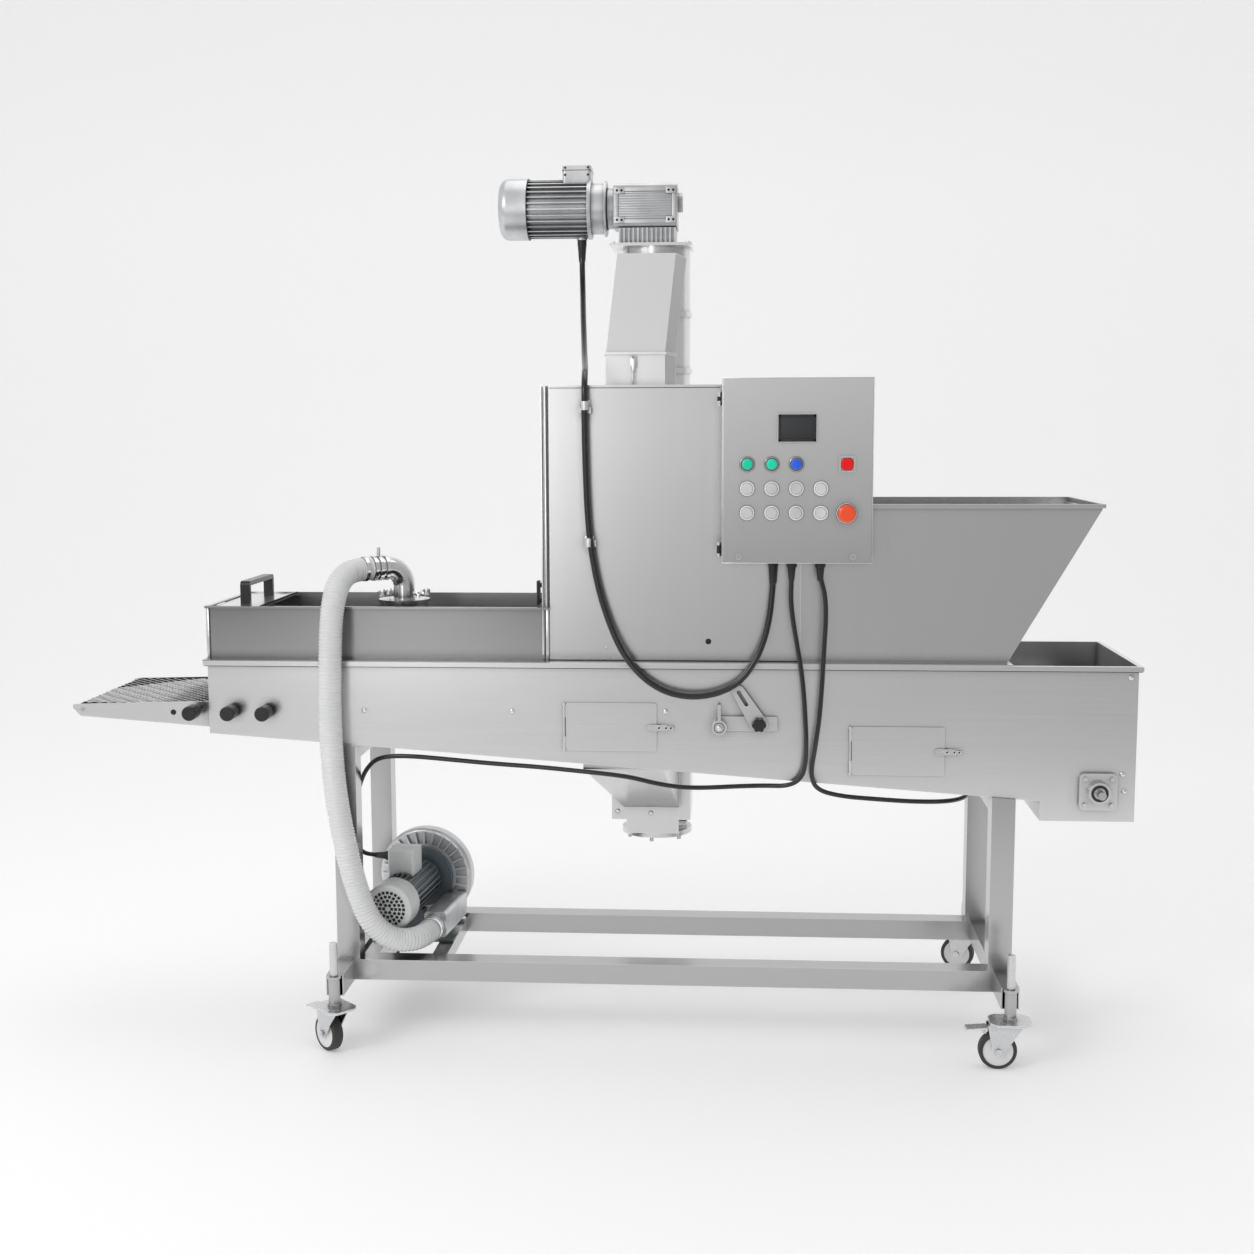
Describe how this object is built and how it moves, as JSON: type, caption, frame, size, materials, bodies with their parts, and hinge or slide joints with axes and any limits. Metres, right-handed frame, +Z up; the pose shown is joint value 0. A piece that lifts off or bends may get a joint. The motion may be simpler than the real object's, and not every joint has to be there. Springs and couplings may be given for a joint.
{
  "type": "breading machine",
  "caption": "Mobile breading machine: mesh belt through a trough, crumb hopper, auger lift with chute, air blow-off box, blower and a hinged control cabinet on casters.",
  "frame": {"origin": "on the floor below the middle of the trough", "axes": "+X along the belt from the free infeed end to the drive end, +Y away from the operator's side, +Z up"},
  "size_m": [2.761, 0.8782, 2.323],
  "materials": {
    "stainless": "brushed satin",
    "dark_steel": "satin, oiled",
    "mesh": "woven wire",
    "zinc": "bright zinc plate",
    "motor_silver": "silver paint",
    "motor_blue": "dark slate-blue paint",
    "cast_aluminium": "cast",
    "white_hub": "moulded nylon with dark tread",
    "black_plastic": "moulded",
    "clear_hose": "ribbed clear PVC",
    "cable_black": "glossy jacket",
    "red_cap": "gloss",
    "white_cap": "gloss",
    "green_lamp": "translucent"
  },
  "bodies": {
    "machine": {"base_frame": "stainless", "trough": "stainless", "conveyor_frame": "stainless", "air_box": "stainless", "air_duct": "stainless", "housing": "stainless", "hopper": "stainless", "chute": "stainless", "auger_casing": "stainless", "cabinet": "stainless", "gate_bracket": "stainless", "caster_stems": "zinc", "mesh_belt": "mesh", "flange_bearing": "cast_aluminium", "blower": "cast_aluminium", "gearbox": "motor_silver", "top_motor": "motor_silver", "belt_gearmotor": "motor_silver", "blower_motor": "motor_blue", "air_hose": "clear_hose", "cable_main": "cable_black", "cable_left": "cable_black", "cable_right": "cable_black", "cable_fittings": "black_plastic"},
    "fork_front_left": {"fork_front_left": "zinc"},
    "wheel_front_left": {"wheel_front_left": "white_hub"},
    "pedal_front_left": {"pedal_front_left": "zinc"},
    "fork_front_right": {"fork_front_right": "zinc"},
    "wheel_front_right": {"wheel_front_right": "white_hub"},
    "pedal_front_right": {"pedal_front_right": "zinc"},
    "fork_rear_left": {"fork_rear_left": "zinc"},
    "wheel_rear_left": {"wheel_rear_left": "white_hub"},
    "fork_rear_right": {"fork_rear_right": "zinc"},
    "wheel_rear_right": {"wheel_rear_right": "white_hub"},
    "auger_screw": {"auger_screw": "stainless"},
    "drive_roller": {"drive_roller": "dark_steel"},
    "nose_roller": {"nose_roller": "dark_steel"},
    "cabinet_door": {"cabinet_door": "stainless", "pilot_lamps": "green_lamp"},
    "button_red": {"button_red": "red_cap"},
    "button_2_1": {"button_2_1": "white_cap"},
    "button_2_2": {"button_2_2": "white_cap"},
    "button_2_3": {"button_2_3": "white_cap"},
    "button_2_4": {"button_2_4": "white_cap"},
    "button_3_1": {"button_3_1": "white_cap"},
    "button_3_2": {"button_3_2": "white_cap"},
    "button_3_3": {"button_3_3": "white_cap"},
    "button_3_4": {"button_3_4": "white_cap"},
    "stop_button": {"stop_button": "red_cap"},
    "hatch_left": {"hatch_left": "stainless"},
    "latch_left": {"latch_left": "zinc"},
    "hatch_right": {"hatch_right": "stainless"},
    "latch_right": {"latch_right": "zinc"},
    "side_knob_1": {"side_knob_1": "black_plastic"},
    "side_knob_2": {"side_knob_2": "black_plastic"},
    "side_knob_3": {"side_knob_3": "black_plastic"},
    "gate_lever": {"gate_lever": "stainless"},
    "lock_knob": {"lock_knob": "black_plastic"},
    "air_lid": {"air_lid": "stainless"}
  },
  "joints": [
    {"name": "swivel_front_left", "type": "hinge", "parent": "machine", "child": "fork_front_left", "pos_m": [-0.842, -0.376, 0.12], "axis": [0, 0, 1], "continuous": true},
    {"name": "roll_front_left", "type": "hinge", "parent": "fork_front_left", "child": "wheel_front_left", "pos_m": [-0.86358, -0.35516, 0.0475], "axis": [0.6947, 0.7193, 0], "continuous": true},
    {"name": "brake_front_left", "type": "hinge", "parent": "fork_front_left", "child": "pedal_front_left", "pos_m": [-0.87509, -0.34405, 0.106], "axis": [0.6947, 0.7193, 0], "range_deg": [-12, 0], "stiffness_Nm_per_rad": 0.6},
    {"name": "swivel_front_right", "type": "hinge", "parent": "machine", "child": "fork_front_right", "pos_m": [0.87, -0.376, 0.12], "axis": [0, 0, 1], "continuous": true},
    {"name": "roll_front_right", "type": "hinge", "parent": "fork_front_right", "child": "wheel_front_right", "pos_m": [0.84, -0.376, 0.0475], "axis": [0, 1, 0], "continuous": true},
    {"name": "brake_front_right", "type": "hinge", "parent": "fork_front_right", "child": "pedal_front_right", "pos_m": [0.824, -0.376, 0.106], "axis": [0, 1, 0], "range_deg": [-12, 0], "stiffness_Nm_per_rad": 0.6},
    {"name": "swivel_rear_left", "type": "hinge", "parent": "machine", "child": "fork_rear_left", "pos_m": [-0.842, 0.376, 0.12], "axis": [0, 0, 1], "continuous": true},
    {"name": "roll_rear_left", "type": "hinge", "parent": "fork_rear_left", "child": "wheel_rear_left", "pos_m": [-0.86941, 0.3638, 0.0475], "axis": [-0.4067, 0.9135, 0], "continuous": true},
    {"name": "swivel_rear_right", "type": "hinge", "parent": "machine", "child": "fork_rear_right", "pos_m": [0.87, 0.376, 0.12], "axis": [0, 0, 1], "continuous": true},
    {"name": "roll_rear_right", "type": "hinge", "parent": "fork_rear_right", "child": "wheel_rear_right", "pos_m": [0.84147, 0.38527, 0.0475], "axis": [0.309, 0.9511, 0], "continuous": true},
    {"name": "auger_turn", "type": "hinge", "parent": "machine", "child": "auger_screw", "pos_m": [-0.048, 0.345, 1.2], "axis": [0, 0, 1], "continuous": true},
    {"name": "drive_turn", "type": "hinge", "parent": "machine", "child": "drive_roller", "pos_m": [1.096, 0, 0.679], "axis": [0, 1, 0], "continuous": true},
    {"name": "nose_turn", "type": "hinge", "parent": "machine", "child": "nose_roller", "pos_m": [-1.535, 0, 0.863], "axis": [0, 1, 0], "continuous": true},
    {"name": "door_swing", "type": "hinge", "parent": "machine", "child": "cabinet_door", "pos_m": [0.139, -0.354, 1.48], "axis": [0, 0, 1], "range_deg": [-110, 0]},
    {"name": "button_red_press", "type": "slide", "parent": "cabinet_door", "child": "button_red", "axis": [0, 1, 0], "range_m": [0, 0.004], "stiffness_N_per_m": 300},
    {"name": "button_2_1_press", "type": "slide", "parent": "cabinet_door", "child": "button_2_1", "axis": [0, 1, 0], "range_m": [0, 0.004], "stiffness_N_per_m": 300},
    {"name": "button_2_2_press", "type": "slide", "parent": "cabinet_door", "child": "button_2_2", "axis": [0, 1, 0], "range_m": [0, 0.004], "stiffness_N_per_m": 300},
    {"name": "button_2_3_press", "type": "slide", "parent": "cabinet_door", "child": "button_2_3", "axis": [0, 1, 0], "range_m": [0, 0.004], "stiffness_N_per_m": 300},
    {"name": "button_2_4_press", "type": "slide", "parent": "cabinet_door", "child": "button_2_4", "axis": [0, 1, 0], "range_m": [0, 0.004], "stiffness_N_per_m": 300},
    {"name": "button_3_1_press", "type": "slide", "parent": "cabinet_door", "child": "button_3_1", "axis": [0, 1, 0], "range_m": [0, 0.004], "stiffness_N_per_m": 300},
    {"name": "button_3_2_press", "type": "slide", "parent": "cabinet_door", "child": "button_3_2", "axis": [0, 1, 0], "range_m": [0, 0.004], "stiffness_N_per_m": 300},
    {"name": "button_3_3_press", "type": "slide", "parent": "cabinet_door", "child": "button_3_3", "axis": [0, 1, 0], "range_m": [0, 0.004], "stiffness_N_per_m": 300},
    {"name": "button_3_4_press", "type": "slide", "parent": "cabinet_door", "child": "button_3_4", "axis": [0, 1, 0], "range_m": [0, 0.004], "stiffness_N_per_m": 300},
    {"name": "stop_button_press", "type": "slide", "parent": "cabinet_door", "child": "stop_button", "axis": [0, 1, 0], "range_m": [0, 0.006], "stiffness_N_per_m": 300},
    {"name": "hatch_swing_left", "type": "hinge", "parent": "machine", "child": "hatch_left", "pos_m": [-0.2585, -0.242, 0.8325], "axis": [0, 0, 1], "range_deg": [-120, 0]},
    {"name": "latch_turn_left", "type": "hinge", "parent": "hatch_left", "child": "latch_left", "pos_m": [-0.0365, -0.244, 0.832], "axis": [0, 1, 0], "range_deg": [-90, 0]},
    {"name": "hatch_swing_right", "type": "hinge", "parent": "machine", "child": "hatch_right", "pos_m": [0.473, -0.242, 0.7765], "axis": [0, 0, 1], "range_deg": [-120, 0]},
    {"name": "latch_turn_right", "type": "hinge", "parent": "hatch_right", "child": "latch_right", "pos_m": [0.695, -0.244, 0.776], "axis": [0, 1, 0], "range_deg": [-90, 0]},
    {"name": "side_knob_1_turn", "type": "hinge", "parent": "machine", "child": "side_knob_1", "pos_m": [-1.225, -0.27, 0.867], "axis": [0, 1, 0], "continuous": true},
    {"name": "side_knob_2_turn", "type": "hinge", "parent": "machine", "child": "side_knob_2", "pos_m": [-1.125, -0.27, 0.867], "axis": [0, 1, 0], "continuous": true},
    {"name": "side_knob_3_turn", "type": "hinge", "parent": "machine", "child": "side_knob_3", "pos_m": [-1.034, -0.27, 0.867], "axis": [0, 1, 0], "continuous": true},
    {"name": "gate_lever_swing", "type": "hinge", "parent": "machine", "child": "gate_lever", "pos_m": [0.241, -0.25, 0.845], "axis": [0, 1, 0], "range_deg": [-12, 25]},
    {"name": "lock_knob_turn", "type": "hinge", "parent": "machine", "child": "lock_knob", "pos_m": [0.241, -0.265, 0.845], "axis": [0, 1, 0], "continuous": true},
    {"name": "air_lid_swing", "type": "hinge", "parent": "machine", "child": "air_lid", "pos_m": [-1.181, -0.029, 1.133], "axis": [0, 1, 0], "range_deg": [-100, 0]}
  ],
  "couplings": [
    {"joint": "nose_turn", "follows": "drive_turn", "ratio": 2.0833}
  ]
}
